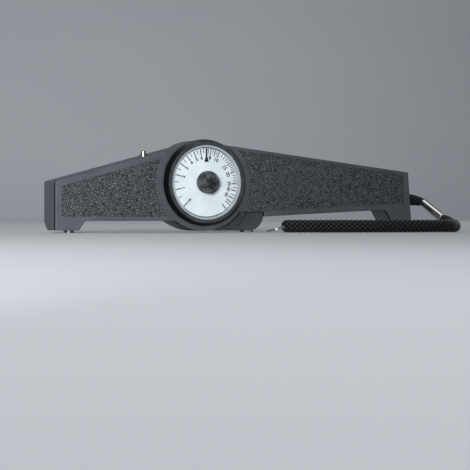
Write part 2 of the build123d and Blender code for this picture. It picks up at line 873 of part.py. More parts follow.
# The beam: two tapered arms about a round hub, with a pad that reaches forward under the indicator pin
with BuildPart() as balance_arm:
    with BuildSketch(upright(mid_y + arm_thickness / 2)):
        add(tapered_arm((magnet_x, arm_left_height), arm_left_r))
        add(tapered_arm((weight_x, weight_z), arm_right_r))
        with Locations((dial_x, axis_height)):
            Circle(bush_r + fit_gap, mode=Mode.SUBTRACT)
    extrude(amount=arm_thickness)
    with BuildSketch(upright(mid_y + arm_thickness / 2)):
        with Locations((pin_x, pad_z)):
            Rectangle(pad_width, pad_rise + pad_thickness, align=(Align.CENTER, Align.MAX))
    extrude(amount=arm_thickness / 2 + pin_forward + pad_width / 2)
balance_arm.part.label = "balance_arm"
export_step(balance_arm.part, "parts/balance_arm.step")

# The brass bush in the beam
with BuildPart() as arm_bush:
    with BuildSketch(upright(mid_y + bush_back)):
        with Locations((dial_x, axis_height)):
            Circle(bush_r)
            Circle(axle_r + running_gap, mode=Mode.SUBTRACT)
    extrude(amount=bush_back + bush_front)
arm_bush.part.label = "arm_bush"
export_step(arm_bush.part, "parts/arm_bush.step")

# The beam's axle, pressed into the rear shell's boss, with a groove for its clip
with BuildPart() as arm_axle:
    with BuildSketch(upright(inner_back_y + axle_in_wall)):
        with Locations((dial_x, axis_height)):
            Circle(axle_r)
    extrude(amount=inner_back_y + axle_in_wall - mid_y + axle_front)
    with BuildSketch(upright(clip_back)):
        with Locations((dial_x, axis_height)):
            Circle(2 * axle_r)
            Circle(clip_groove_r, mode=Mode.SUBTRACT)
    extrude(amount=clip_thickness, mode=Mode.SUBTRACT)
arm_axle.part.label = "arm_axle"
export_step(arm_axle.part, "parts/arm_axle.step")

# The open clip in the axle's groove
with BuildPart() as axle_clip:
    with BuildSketch(upright(clip_back - fit_gap)):
        with Locations((dial_x, axis_height)):
            Circle(clip_r)
            Circle(clip_groove_r + fit_gap, mode=Mode.SUBTRACT)
            Rectangle(2 * clip_groove_r, clip_r, align=(Align.CENTER, Align.MAX), mode=Mode.SUBTRACT)
    extrude(amount=clip_thickness - 2 * fit_gap)
axle_clip.part.label = "axle_clip"
export_step(axle_clip.part, "parts/axle_clip.step")

# The post on the beam that holds the spring's outer end
with BuildPart() as spring_post:
    with BuildSketch(upright(mid_y - arm_thickness / 2)):
        with Locations((dial_x + spring_outer_r + spring_strip / 2 + post_r + fit_gap, axis_height)):
            Circle(post_r)
    extrude(amount=post_front - arm_thickness / 2)
spring_post.part.label = "spring_post"
export_step(spring_post.part, "parts/spring_post.step")

# The brass cup on the beam's left end, slotted for the beam and bored for the magnet
with BuildPart() as magnet_holder:
    with BuildSketch(Plane.XY.offset(holder_bottom)):
        with Locations((magnet_x, mid_y)):
            Circle(holder_r)
    extrude(amount=holder_top - holder_bottom)
    with BuildSketch(upright(mid_y + arm_thickness / 2 + fit_gap)):
        with Locations((magnet_x, holder_top)):
            Rectangle(4 * holder_r, holder_top - holder_seat, align=(Align.CENTER, Align.MAX))
    extrude(amount=arm_thickness + 2 * fit_gap, mode=Mode.SUBTRACT)
    with BuildSketch(Plane.XY.offset(holder_bottom)):
        with Locations((magnet_x, mid_y)):
            Circle(magnet_r + fit_gap)
    extrude(amount=holder_seat - holder_bottom, mode=Mode.SUBTRACT)
magnet_holder.part.label = "magnet_holder"
export_step(magnet_holder.part, "parts/magnet_holder.step")

# The rod magnet. Its rounded end is the probe's tip
with BuildPart() as magnet:
    with BuildSketch(Plane.XY.offset(magnet_clear)):
        with Locations((magnet_x, mid_y)):
            Circle(magnet_r)
    extrude(amount=holder_seat - magnet_clear)
    fillet(magnet.faces().sort_by(Axis.Z)[0].edges(), radius=magnet_round)
magnet.part.label = "magnet"
export_step(magnet.part, "parts/magnet.step")

# The brass weight, slotted over the beam's right end
with BuildPart() as counterweight:
    with BuildSketch(upright(mid_y + weight_width / 2)):
        with Locations((weight_x, weight_z)):
            Circle(weight_r)
    extrude(amount=weight_width)
    chamfer(counterweight.edges().filter_by(GeomType.CIRCLE), length=weight_edge)
    with BuildSketch(upright(mid_y + arm_thickness / 2 + fit_gap)):
        with Locations((weight_x, weight_z)):
            Circle(arm_right_r + fit_gap)
            Rectangle(
                2 * weight_r,
                2 * (arm_right_r + (arm_hub_r - arm_right_r) * weight_r / weight_reach + weight_slot_gap),
                align=(Align.MAX, Align.CENTER),
            )
    extrude(amount=arm_thickness + 2 * fit_gap, mode=Mode.SUBTRACT)
    with BuildSketch(Plane.YZ.offset(weight_x + weight_r)):
        with Locations((mid_y, weight_z)):
            Circle(trim_r + fit_gap)
    extrude(amount=-trim_depth, mode=Mode.SUBTRACT)
counterweight.part.label = "counterweight"
export_step(counterweight.part, "parts/counterweight.step")

# The screw that trims the balance
with BuildPart() as trim_screw:
    with BuildSketch(Plane.YZ.offset(weight_x + weight_r - trim_depth)):
        with Locations((mid_y, weight_z)):
            Circle(trim_r)
    extrude(amount=trim_length)
    with BuildSketch(Plane.YZ.offset(weight_x + weight_r - trim_depth + trim_length)):
        with Locations((mid_y, weight_z)):
            Circle(trim_head_r)
    extrude(amount=trim_head)
    with BuildSketch(Plane.YZ.offset(weight_x + weight_r - trim_depth + trim_length + trim_head)):
        with Locations((mid_y, weight_z)):
            Rectangle(screw_slot, 2 * trim_head_r)
    extrude(amount=-trim_head / 2, mode=Mode.SUBTRACT)
trim_screw.part.label = "trim_screw"
export_step(trim_screw.part, "parts/trim_screw.step")

# The two pins that limit the beam
with BuildPart() as arm_stops:
    with BuildSketch(upright(inner_back_y + axle_in_wall)):
        with Locations(*stops):
            Circle(stop_r)
    extrude(amount=inner_back_y + axle_in_wall - mid_y + stop_front)
arm_stops.part.label = "arm_stops"
export_step(arm_stops.part, "parts/arm_stops.step")

# The cross pin that holds the strap in its socket
with BuildPart() as strap_anchor:
    with BuildSketch(upright(mid_y + socket_width)):
        with Locations((right_x - anchor_depth, strap_height)):
            Circle(anchor_r)
    extrude(amount=mid_y + socket_width - seam_y)
strap_anchor.part.label = "strap_anchor"
export_step(strap_anchor.part, "parts/strap_anchor.step")


def neck_plane(share):
    """The plane across the strap's neck at a share of its bend to the front and down."""
    turn = math.radians(neck_turn) * share
    slope = math.tan(math.radians(neck_slant)) * share
    x = right_x + neck_straight + neck_bend_r * math.sin(turn)
    y = mid_y - neck_bend_r * (1 - math.cos(turn))
    z = strap_height - neck_bend_r * math.radians(neck_turn) * slope * share / 2
    along = Vector(math.cos(turn), -math.sin(turn), -slope).normalized()
    across = Vector(math.sin(turn), math.cos(turn), 0)
    return Plane(origin=(x, y, z), x_dir=across, z_dir=along)


# The strap's neck: flat in the socket, round where it enters the ferrule
with BuildPart() as strap_neck:
    with BuildSketch(neck_plane(0)):
        Ellipse(neck_width / 2, neck_height / 2)
    extrude(amount=-neck_straight - anchor_depth - 2 * anchor_r)
    for i in range(neck_sections):
        share = i / (neck_sections - 1)
        with BuildSketch(neck_plane(share)):
            Ellipse(
                neck_width / 2 + (neck_end_r - neck_width / 2) * share,
                neck_height / 2 + (neck_end_r - neck_height / 2) * share,
            )
    loft()
    with BuildSketch(neck_plane(1)):
        Ellipse(neck_end_r, neck_end_r)
    extrude(amount=neck_in_ferrule)
    with BuildSketch(upright(mid_y + socket_width)):
        with Locations((right_x - anchor_depth, strap_height)):
            Circle(anchor_r + fit_gap)
    extrude(amount=2 * socket_width, mode=Mode.SUBTRACT)
strap_neck.part.label = "strap_neck"
export_step(strap_neck.part, "parts/strap_neck.step")

# The crimped tube between the neck and the cord
ferrule_start = neck_plane(1)
ferrule_end = ferrule_start.offset(ferrule_length)
with BuildPart() as strap_ferrule:
    with BuildSketch(ferrule_start):
        Circle(ferrule_r)
        Circle(neck_end_r + fit_gap, mode=Mode.SUBTRACT)
    extrude(amount=ferrule_length)
    ferrule_rims = strap_ferrule.edges().filter_by(GeomType.CIRCLE).group_by(SortBy.RADIUS)[-1]
    fillet(ferrule_rims, radius=ferrule_bead)
strap_ferrule.part.label = "strap_ferrule"
export_step(strap_ferrule.part, "parts/strap_ferrule.step")

# The cord lies on the surface: it comes down out of the ferrule, turns round and runs back before the gauge
mouth = ferrule_end.origin
landing = mouth + ferrule_end.z_dir * ((mouth.Z - cord_z) / -ferrule_end.z_dir.Z)
route = [tuple(mouth), tuple(landing)] + [(x, y, cord_z) for x, y in cord_route]


def corner_radius(before, corner, after):
    """The arc at one point of the route, as large as its two runs allow, and the turn there in degrees."""
    first = Vector(*corner) - Vector(*before)
    second = Vector(*after) - Vector(*corner)
    turn = first.get_angle(second)
    run = min(first.length, second.length)
    return cord_bend_share * run / math.tan(math.radians(turn / 2)), turn


corners = [corner_radius(*route[i : i + 3]) for i in range(len(route) - 2)]
end_dir = (Vector(*route[-1]) - Vector(*route[-2])).normalized()
hole_at = Vector(*route[-1]) - end_dir * ring_end_margin
tilt_axis = Axis((0, 0, 0), (-end_dir.Y, end_dir.X, 0))
ring_x = end_dir.rotate(tilt_axis, ring_tilt)
ring_z = Vector(0, 0, 1).rotate(tilt_axis, ring_tilt)
ring_plane = Plane(origin=hole_at + ring_x * ring_mean_r, x_dir=ring_x, z_dir=ring_z)

# The cord, with a hole through its end for the ring
with BuildPart() as strap_cord:
    with BuildLine() as cord_path:
        FilletPolyline(*route, radius=[radius for radius, turn in corners])
    with BuildSketch(ferrule_end):
        Circle(cord_r)
    sweep()
    with Locations(ring_plane):
        Torus(ring_mean_r, ring_wire_r + ring_hole_gap, mode=Mode.SUBTRACT)
strap_cord.part.label = "strap_cord"
export_step(strap_cord.part, "parts/strap_cord.step")
print("cord length", round(cord_path.wire().length, 2))
for radius, turn in corners:
    print("cord arc radius", round(radius, 1), "turn", round(turn, 1))
print("cord route", [tuple(round(v, 2) for v in point) for point in route])

# The steel ring goes through the cord's end, and its far side rests on the surface
with BuildPart(ring_plane) as split_ring:
    Torus(ring_mean_r, ring_wire_r)
split_ring.part.label = "split_ring"
export_step(split_ring.part, "parts/split_ring.step")
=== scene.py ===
import math

import bpy
import numpy as np
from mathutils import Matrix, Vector


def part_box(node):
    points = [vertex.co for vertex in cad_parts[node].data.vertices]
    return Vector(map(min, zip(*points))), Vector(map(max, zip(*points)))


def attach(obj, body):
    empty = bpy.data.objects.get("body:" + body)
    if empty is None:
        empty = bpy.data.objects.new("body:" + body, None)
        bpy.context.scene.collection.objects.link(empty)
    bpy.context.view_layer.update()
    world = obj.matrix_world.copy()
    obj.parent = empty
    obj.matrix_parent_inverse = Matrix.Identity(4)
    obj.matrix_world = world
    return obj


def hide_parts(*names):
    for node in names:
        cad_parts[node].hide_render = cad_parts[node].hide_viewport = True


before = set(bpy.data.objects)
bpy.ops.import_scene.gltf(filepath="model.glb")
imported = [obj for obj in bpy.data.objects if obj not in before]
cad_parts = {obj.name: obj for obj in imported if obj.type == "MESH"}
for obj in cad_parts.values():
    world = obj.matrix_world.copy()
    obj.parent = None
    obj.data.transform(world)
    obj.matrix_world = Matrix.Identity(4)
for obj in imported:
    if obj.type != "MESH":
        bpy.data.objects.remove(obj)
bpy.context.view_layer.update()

MM = 0.001

# Places of the gauge in millimetres, as its solids have them
DIAL_X, AXIS_Z = -22.675, 27.7  # the axis of the wheel and the beam, which runs along Y
MID_Y = 4.65  # the middle of the housing's depth
PLATE_Y = -9.95  # the face of the scale plate
PANEL_Y = -5.35  # the floor of the two sunken panels
JOINT_Y = -4.1  # the joint between the two shells
RIGHT_X, STRAP_Z = 108.675, 18.5  # the right end face, and the strap's socket in it
PIN_X, PIN_Y = DIAL_X - 32.6, MID_Y - 3  # the indicator pin
MAGNET_X = DIAL_X - 74.9  # the rod magnet


# Colours and nodes


def linear(code):
    """An sRGB hex colour as linear red, green, blue and a full alpha."""
    parts = [int(code[i:i + 2], 16) / 255 for i in (0, 2, 4)]
    return (*[c / 12.92 if c <= 0.04045 else ((c + 0.055) / 1.055) ** 2.4 for c in parts], 1.0)


def add(tree, kind, inputs=None, **settings):
    """Adds one node with its settings. An input is a value to set or an output to link.

    Inputs that share a name go by number. Of a Map Range, 0 is the value, 1 and 2 are the span that it comes
    from, and 3 and 4 the span that it goes to. Of a Mix, 0 is the factor, and 6 and 7 are the colours. Of a
    Compare, 0 and 1 are the values, and 2 is how far apart they may be.
    """
    node = tree.nodes.new(kind)
    for name, value in settings.items():
        setattr(node, name, value)
    for key, value in (inputs or {}).items():
        if isinstance(value, bpy.types.NodeSocket):
            tree.links.new(value, node.inputs[key])
        else:
            node.inputs[key].default_value = value
    return node


def finish_of(name, roughness, metallic=0.0, ior=1.5):
    """A material with one Principled shader, as (material, tree, shader, the object's own coordinates)."""
    material = bpy.data.materials.new(name)
    material.use_nodes = True
    tree = material.node_tree
    shader = tree.nodes["Principled BSDF"]
    shader.inputs["Roughness"].default_value = roughness
    shader.inputs["Metallic"].default_value = metallic
    shader.inputs["IOR"].default_value = ior
    place = add(tree, "ShaderNodeTexCoord").outputs["Object"]
    return material, tree, shader, place


def two_tones(tree, factor, dark, light, low=0.3, high=0.7):
    """Mixes two hex colours by a factor between low and high. Most of a noise lies from 0.3 to 0.7."""
    span = add(tree, "ShaderNodeMapRange", {0: factor, 1: low, 2: high})
    mix = add(tree, "ShaderNodeMix", {0: span.outputs[0], 6: linear(dark), 7: linear(light)},
              data_type="RGBA")
    return mix.outputs[2]


def moulded_skin(tree, shader, place, pit_mm, relief_mm):
    """The fine skin that a mould or a spray gun leaves: pits of pit_mm across and relief_mm deep."""
    pits = add(tree, "ShaderNodeTexNoise", {"Vector": place, "Scale": 1 / (pit_mm * MM), "Detail": 3.0})
    bump = add(tree, "ShaderNodeBump",
               {"Height": pits.outputs[0], "Strength": 0.6, "Distance": relief_mm * MM})
    tree.links.new(bump.outputs[0], shader.inputs["Normal"])


def turning_marks(tree, shader, place, centre, axis):
    """The rings that a lathe leaves about an axis through centre, 0.25 mm apart, coarse enough to show."""
    waves_per_scale = 3.2  # Blender's wave texture draws this many rings in one unit of its scale
    centred = add(tree, "ShaderNodeVectorMath", {0: place, 1: [-c * MM for c in centre]}, operation="ADD")
    rings = add(tree, "ShaderNodeTexWave",
                {"Vector": centred.outputs[0], "Scale": 1 / (0.25 * MM) / waves_per_scale,
                 "Distortion": 0.3, "Detail": 1.0},
                wave_type="RINGS", rings_direction=axis)
    bump = add(tree, "ShaderNodeBump",
               {"Height": rings.outputs["Fac"], "Strength": 0.4, "Distance": 0.01 * MM})
    tree.links.new(bump.outputs[0], shader.inputs["Normal"])


def rubbed_front(tree, shader, shaded_flank, front, low, high):
    """Painted light and shade: fades the tone from the shaded flank to the lit front as the faces turn forward,
    their normal's Y from low to high.
    """
    facing = add(tree, "ShaderNodeSeparateXYZ", {0: add(tree, "ShaderNodeTexCoord").outputs["Normal"]})
    share = add(tree, "ShaderNodeMapRange", {0: facing.outputs["Y"], 1: low, 2: high})
    tone = add(tree, "ShaderNodeMix", {0: share.outputs[0], 6: shaded_flank, 7: front}, data_type="RGBA")
    tree.links.new(tone.outputs[2], shader.inputs["Base Color"])


# Materials


def moulded_housing():
    # The joint between the shells is a thin black line of painted shade.
    """Charcoal ABS from a spark-eroded mould, with leather grain in the two sunken panels.

    To the eye: satin borders with a soft broad highlight, and panels of small pebbles with painted highlights
    on their crests over painted shade in their creases.
    """
    material, tree, shader, place = finish_of("moulded_abs_charcoal", 0.5)
    shader.inputs["Specular IOR Level"].default_value = 0.4
    # Leather grain: pebbles 1.2 mm across. A noise pushes their outlines about, and their tops differ in height
    pebble_size, sway, lowest_top = 1.2 * MM, 1.4 * MM, 0.55
    bend = add(tree, "ShaderNodeTexNoise", {"Vector": place, "Scale": 1 / sway, "Detail": 2.0})
    shift = add(tree, "ShaderNodeVectorMath", {0: bend.outputs["Color"], 1: (0.5, 0.5, 0.5)},
                operation="SUBTRACT")
    shift = add(tree, "ShaderNodeVectorMath", {0: shift.outputs[0], "Scale": sway}, operation="SCALE")
    moved = add(tree, "ShaderNodeVectorMath", {0: place, 1: shift.outputs[0]}, operation="ADD")
    crease = add(tree, "ShaderNodeTexVoronoi", {"Vector": moved.outputs[0], "Scale": 1 / pebble_size},
                 feature="DISTANCE_TO_EDGE")
    cell = add(tree, "ShaderNodeTexVoronoi", {"Vector": moved.outputs[0], "Scale": 1 / pebble_size},
               feature="F1")
    own = add(tree, "ShaderNodeSeparateColor", {0: cell.outputs["Color"]})
    own_height = add(tree, "ShaderNodeMapRange", {0: own.outputs[0], 3: lowest_top, 4: 1.0})
    crown = add(tree, "ShaderNodeMapRange", {0: crease.outputs["Distance"], 1: 0.02, 2: 0.2})
    pebble = add(tree, "ShaderNodeMath", {0: crown.outputs[0], 1: own_height.outputs[0]},
                 operation="MULTIPLY")
    # The panels are the only faces at their depth that look forward
    depth_play, joint_shade_half = 0.12 * MM, 0.94 * MM
    parts = add(tree, "ShaderNodeSeparateXYZ", {0: place})
    at_floor = add(tree, "ShaderNodeMath", {0: parts.outputs["Y"], 1: PANEL_Y * MM, 2: depth_play},
                   operation="COMPARE")
    facing = add(tree, "ShaderNodeSeparateXYZ", {0: add(tree, "ShaderNodeTexCoord").outputs["Normal"]})
    forward = add(tree, "ShaderNodeMath", {0: facing.outputs["Y"], 1: -0.9}, operation="LESS_THAN")
    panel = add(tree, "ShaderNodeMath", {0: at_floor.outputs[0], 1: forward.outputs[0]},
                operation="MULTIPLY")
    # Elsewhere a spark-eroded skin, drawn at 0.35 mm because the real 0.1 mm is too fine to show
    pits = add(tree, "ShaderNodeTexNoise", {"Vector": place, "Scale": 1 / (0.35 * MM), "Detail": 3.0})
    cloud = add(tree, "ShaderNodeTexNoise", {"Vector": place, "Scale": 1 / (9 * MM), "Detail": 3.0})
    speck = add(tree, "ShaderNodeMath", {0: pits.outputs[0], 1: cloud.outputs[0]}, operation="ADD")
    smooth_tone = two_tones(tree, speck.outputs[0], "484d53", "5a5f66", 0.7, 1.3)
    # Painted light on the grain: creases painted dark as shade, crests painted light as highlights, lighter on
    # taller pebbles
    grain_shade_and_highlight = two_tones(tree, pebble.outputs[0], "090b0c", "6a7077", 0.0, 1.0)
    tone = add(tree, "ShaderNodeMix", {0: panel.outputs[0], 6: smooth_tone, 7: grain_shade_and_highlight},
               data_type="RGBA")
    # Painted shade: the gap of the joint between the shells is painted near black, as the shade that falls in
    # it
    painted_joint_shade = add(tree, "ShaderNodeMath", {0: parts.outputs["Y"], 1: JOINT_Y * MM, 2: joint_shade_half},
                operation="COMPARE")
    with_joint_shade = add(tree, "ShaderNodeMix", {0: painted_joint_shade.outputs[0], 6: tone.outputs[2], 7: linear("050506")},
                     data_type="RGBA")
    tree.links.new(with_joint_shade.outputs[2], shader.inputs["Base Color"])
    # The grain is duller than the borders, handling leaves both uneven, and the joint is dullest
    rough = add(tree, "ShaderNodeMapRange", {0: panel.outputs[0], 3: 0.48, 4: 0.55})
    worn = add(tree, "ShaderNodeMapRange", {0: cloud.outputs[0], 1: 0.3, 2: 0.7, 3: -0.05, 4: 0.05})
    uneven = add(tree, "ShaderNodeMath", {0: rough.outputs[0], 1: worn.outputs[0]}, operation="ADD")
    matt = add(tree, "ShaderNodeMath", {0: painted_joint_shade.outputs[0], 1: 0.4, 2: uneven.outputs[0]},
               operation="MULTIPLY_ADD")
    tree.links.new(matt.outputs[0], shader.inputs["Roughness"])
    grain_height = add(tree, "ShaderNodeMath", {0: pebble.outputs[0], 1: panel.outputs[0]},
                       operation="MULTIPLY")
    grain = add(tree, "ShaderNodeBump",
                {"Height": grain_height.outputs[0], "Strength": 1.0, "Distance": 0.2 * MM})
    skin = add(tree, "ShaderNodeBump",
               {"Height": pits.outputs[0], "Strength": 0.5, "Distance": 0.03 * MM,
                "Normal": grain.outputs[0]})
    tree.links.new(skin.outputs[0], shader.inputs["Normal"])
    return material


def hub_button():
    """Dark grey ABS button with a mottled grey face, and its wall painted nearly black as shade."""
    material, tree, shader, place = finish_of("moulded_abs_button", 0.42)
    cloud = add(tree, "ShaderNodeTexNoise", {"Vector": place, "Scale": 1 / (3.2 * MM), "Detail": 4.0})
    face = two_tones(tree, cloud.outputs[0], "181b1e", "666c73", 0.38, 0.62)
    # Painted shade: the wall nearly black, the forward face the mottled grey
    rubbed_front(tree, shader, linear("0b0c0d"), face, -0.4, -0.9)
    moulded_skin(tree, shader, place, 0.4, 0.04)
    return material


def wheel_plastic():
    """Turned black acetal: its front rim is painted a grey satin as lit, and its flank nearly black as painted
    shade.
    """
    material, tree, shader, place = finish_of("turned_acetal_black", 0.36)
    shader.inputs["Specular IOR Level"].default_value = 0.2
    cloud = add(tree, "ShaderNodeTexNoise", {"Vector": place, "Scale": 1 / (2.5 * MM), "Detail": 4.0})
    shaded_flank = two_tones(tree, cloud.outputs[0], "020203", "060607")
    lit_rim = two_tones(tree, cloud.outputs[0], "33373b", "4c5156")
    # Painted light and shade: the flank nearly black as shade, the front rim grey as lit
    rubbed_front(tree, shader, shaded_flank, lit_rim, -0.45, -0.85)
    turning_marks(tree, shader, place, (DIAL_X, 0, AXIS_Z), "Y")
    return material


def moulded(name, dark, light, roughness, pit_mm, relief_mm):
    """A moulded or sprayed finish: one tone with faint clouds under a fine even skin."""
    material, tree, shader, place = finish_of(name, roughness)
    cloud = add(tree, "ShaderNodeTexNoise", {"Vector": place, "Scale": 1 / (6 * MM), "Detail": 3.0})
    tree.links.new(two_tones(tree, cloud.outputs[0], dark, light), shader.inputs["Base Color"])
    moulded_skin(tree, shader, place, pit_mm, relief_mm)
    return material


def turned(name, dark, light, roughness, centre, axis):
    """Metal turned on a lathe: fine rings about an axis through centre draw the light into a fan."""
    material, tree, shader, place = finish_of(name, roughness, 1.0)
    cloud = add(tree, "ShaderNodeTexNoise", {"Vector": place, "Scale": 1 / (2.5 * MM), "Detail": 4.0})
    tree.links.new(two_tones(tree, cloud.outputs[0], dark, light), shader.inputs["Base Color"])
    uneven = add(tree, "ShaderNodeMapRange",
                 {0: cloud.outputs[0], 1: 0.3, 2: 0.7, 3: roughness * 0.8, 4: roughness * 1.25})
    tree.links.new(uneven.outputs[0], shader.inputs["Roughness"])
    turning_marks(tree, shader, place, centre, axis)
    return material


def drawn(name, dark, light, roughness, along):
    """Drawn, ground or rolled metal: fine scratches that run one way stretch the highlights across them."""
    material, tree, shader, place = finish_of(name, roughness, 1.0)
    lengthways, across = 60, 1500  # scratches for a metre: 17 mm long and 0.7 mm apart, coarse enough to show
    stretch = [lengthways if axis == along else across for axis in "XYZ"]
    pulled = add(tree, "ShaderNodeMapping", {"Vector": place, "Scale": stretch})
    lines = add(tree, "ShaderNodeTexNoise", {"Vector": pulled.outputs[0], "Scale": 1.0, "Detail": 4.0})
    tree.links.new(two_tones(tree, lines.outputs[0], dark, light), shader.inputs["Base Color"])
    uneven = add(tree, "ShaderNodeMapRange",
                 {0: lines.outputs[0], 1: 0.3, 2: 0.7, 3: roughness * 0.75, 4: roughness * 1.3})
    tree.links.new(uneven.outputs[0], shader.inputs["Roughness"])
    bump = add(tree, "ShaderNodeBump",
               {"Height": lines.outputs[0], "Strength": 0.25, "Distance": 0.01 * MM})
    tree.links.new(bump.outputs[0], shader.inputs["Normal"])
    return material


def cast_acrylic():
    """Clear cast acrylic, polished on both sides: the plate shows through it under a thin gloss."""
    material, tree, shader, place = finish_of("cast_acrylic_clear", 0.03, ior=1.49)
    tint = linear("f7fafa")
    shader.inputs["Transmission Weight"].default_value = 1.0
    shader.inputs["Base Color"].default_value = tint
    wave = add(tree, "ShaderNodeTexNoise", {"Vector": place, "Scale": 1 / (14 * MM), "Detail": 1.0})
    bump = add(tree, "ShaderNodeBump", {"Height": wave.outputs[0], "Strength": 0.15, "Distance": 0.02 * MM})
    tree.links.new(bump.outputs[0], shader.inputs["Normal"])
    clear = add(tree, "ShaderNodeBsdfTransparent", {"Color": tint})
    shadow = add(tree, "ShaderNodeLightPath").outputs["Is Shadow Ray"]
    mix = add(tree, "ShaderNodeMixShader", {0: shadow, 1: shader.outputs[0], 2: clear.outputs[0]})
    tree.links.new(mix.outputs[0], tree.nodes["Material Output"].inputs["Surface"])
    return material


def braided_nylon():
    """Black braided nylon: the crests of its flat bundles of filaments are painted lighter as glints, and the
    gaps black as painted shade.
    """
    material, tree, shader, place = finish_of("braided_nylon_black", 0.34)
    shader.inputs["Sheen Weight"].default_value = 0.02
    shader.inputs["Sheen Roughness"].default_value = 0.4
    shader.inputs["Specular IOR Level"].default_value = 0.16
    across = add(tree, "ShaderNodeAttribute", attribute_name="across_strand").outputs["Fac"]
    height = add(tree, "ShaderNodeAttribute", attribute_name="strand_height").outputs["Fac"]
    yarns = 7  # yarns seen in a strand: a real one has more, too fine to show
    phase = add(tree, "ShaderNodeMath", {0: across, 1: yarns * 2 * math.pi}, operation="MULTIPLY")
    yarn = add(tree, "ShaderNodeMath", {0: phase.outputs[0]}, operation="COSINE")
    noise = add(tree, "ShaderNodeTexNoise", {"Vector": place, "Scale": 1 / (0.5 * MM), "Detail": 3.0})
    # Painted light: a painted highlight on the strand crests and painted shade, black, in the gaps
    crest_highlight_gap_shade = two_tones(tree, height, "000000", "4e5055", 0.78, 1.0)
    fluff = two_tones(tree, noise.outputs[0], "000000", "2c2e31", 0.5, 0.8)
    both = add(tree, "ShaderNodeMix", {0: 0.2, 6: crest_highlight_gap_shade, 7: fluff}, data_type="RGBA")
    tree.links.new(both.outputs[2], shader.inputs["Base Color"])
    bump = add(tree, "ShaderNodeBump", {"Height": yarn.outputs[0], "Strength": 0.6, "Distance": 0.03 * MM})
    tree.links.new(bump.outputs[0], shader.inputs["Normal"])
    return material


shell = moulded_housing()
hub_plastic = hub_button()
wheel_acetal = wheel_plastic()
acrylic = cast_acrylic()
nylon_braid = braided_nylon()
# Smooth moulded nylon, a touch darker and shinier than the shells
foot_nylon = moulded("moulded_nylon_charcoal", "363b40", "454b51", 0.44, 0.3, 0.02)
# Sprayed lacquer: a bright even white with a faint orange peel
white_lacquer = moulded("lacquered_aluminium_white", "ccd0d6", "d6dadf", 0.32, 0.8, 0.008)
# Screened ink: a flat black with a dull skin
black_ink = moulded("screen_ink_black", "0a0a0b", "151517", 0.5, 0.2, 0.01)
# Nickel on turned brass: bright and a little warm
warm_nickel = turned("nickel_plated_brass", "a9a392", "c8c2b2", 0.2, (PIN_X, PIN_Y, 0), "Z")
# Bare turned brass: yellow, with a soft gloss
inner_brass = turned("turned_brass_inner", "a98646", "c29f60", 0.3, (DIAL_X, 0, AXIS_Z), "Y")
# Hardened pins, faced all together about the gauge's middle: a darker grey with tight glints
pin_steel = turned("hardened_steel_turned", "6c6f72", "8f9295", 0.3, (DIAL_X, MID_Y, 0), "Z")
# Plated magnet: nearly a mirror
nickel = turned("nickel_plated_magnet", "a5a39c", "c3c1ba", 0.16, (MAGNET_X, MID_Y, 0), "Z")
# Ground steel: a cool grey with a satin streak
ground_steel = drawn("ground_steel", "a9acaf", "c4c6c8", 0.26, "Y")
# Chromed tube: one long white highlight along it, between dark edges
chrome = drawn("chromed_brass_tube", "d3d2ce", "e6e4df", 0.17, "Y")
# Plated wire: bright threads of light
ring_steel = drawn("nickel_plated_steel_wire", "b4b6b8", "d0d2d3", 0.16, "X")
# Blued strip: deep blue-grey
blued_steel = drawn("blued_spring_steel", "2c3342", "4a5468", 0.28, "Y")
# Stamped sheet: pale and silky along its rolling
stamped_aluminium = drawn("stamped_aluminium", "a8abae", "bcbfc2", 0.34, "X")

finishes = [
    (shell, ["front_housing", "rear_housing"]),
    (foot_nylon, ["centre_foot"]),
    (hub_plastic, ["hub_cap"]),
    (wheel_acetal, ["dial_wheel"]),
    (white_lacquer, ["dial_bezel", "scale_plate"]),
    (acrylic, ["dial_window"]),
    (black_ink, ["pointer"]),
    (warm_nickel, ["pin_guide", "indicator_pin"]),
    (inner_brass, ["counterweight", "arm_bush", "magnet_holder", "front_bearing", "spring_collet"]),
    (pin_steel, ["contact_pins", "probe_sleeve"]),
    (nickel, ["magnet"]),
    (ground_steel, ["housing_screws", "foot_screws", "dial_arbor", "friction_washer", "arm_axle",
                    "arm_stops", "strap_anchor", "trim_screw", "spring_post"]),
    (chrome, ["strap_ferrule"]),
    (ring_steel, ["split_ring"]),
    (blued_steel, ["axle_clip", "spiral_spring"]),
    (stamped_aluminium, ["balance_arm"]),
    (nylon_braid, ["strap_cord", "strap_neck"]),
]
for material, nodes in finishes:
    for node in nodes:
        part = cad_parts[node]
        part.data.materials.clear()
        part.data.materials.append(material)


# Pieces made as surfaces


def piece(name, points, faces, material, smooth=True, **values):
    """A mesh object from points in millimetres and lists of corners, with float values on its points."""
    mesh = bpy.data.meshes.new(name)
    mesh.from_pydata((np.asarray(points) * MM).tolist(), [], faces)
    for key, value in values.items():
        layer = mesh.attributes.new(key, "FLOAT", "POINT")
        layer.data.foreach_set("value", np.asarray(value, dtype=np.float32))
    mesh.materials.append(material)
    if smooth:
        mesh.shade_smooth()
    else:
        mesh.shade_flat()
    thing = bpy.data.objects.new(name, mesh)
    bpy.context.collection.objects.link(thing)
    return thing


def plain_mesh(curve):
    """The points and faces of the mesh that a curve or a text makes. The curve itself goes."""
    holder = bpy.data.objects.new(curve.name, curve)
    mesh = bpy.data.meshes.new_from_object(holder)
    flat = np.empty(3 * len(mesh.vertices))
    mesh.vertices.foreach_get("co", flat)
    faces = [list(polygon.vertices) for polygon in mesh.polygons]
    bpy.data.objects.remove(holder)
    bpy.data.curves.remove(curve)
    bpy.data.meshes.remove(mesh)
    return flat.reshape(-1, 3), faces


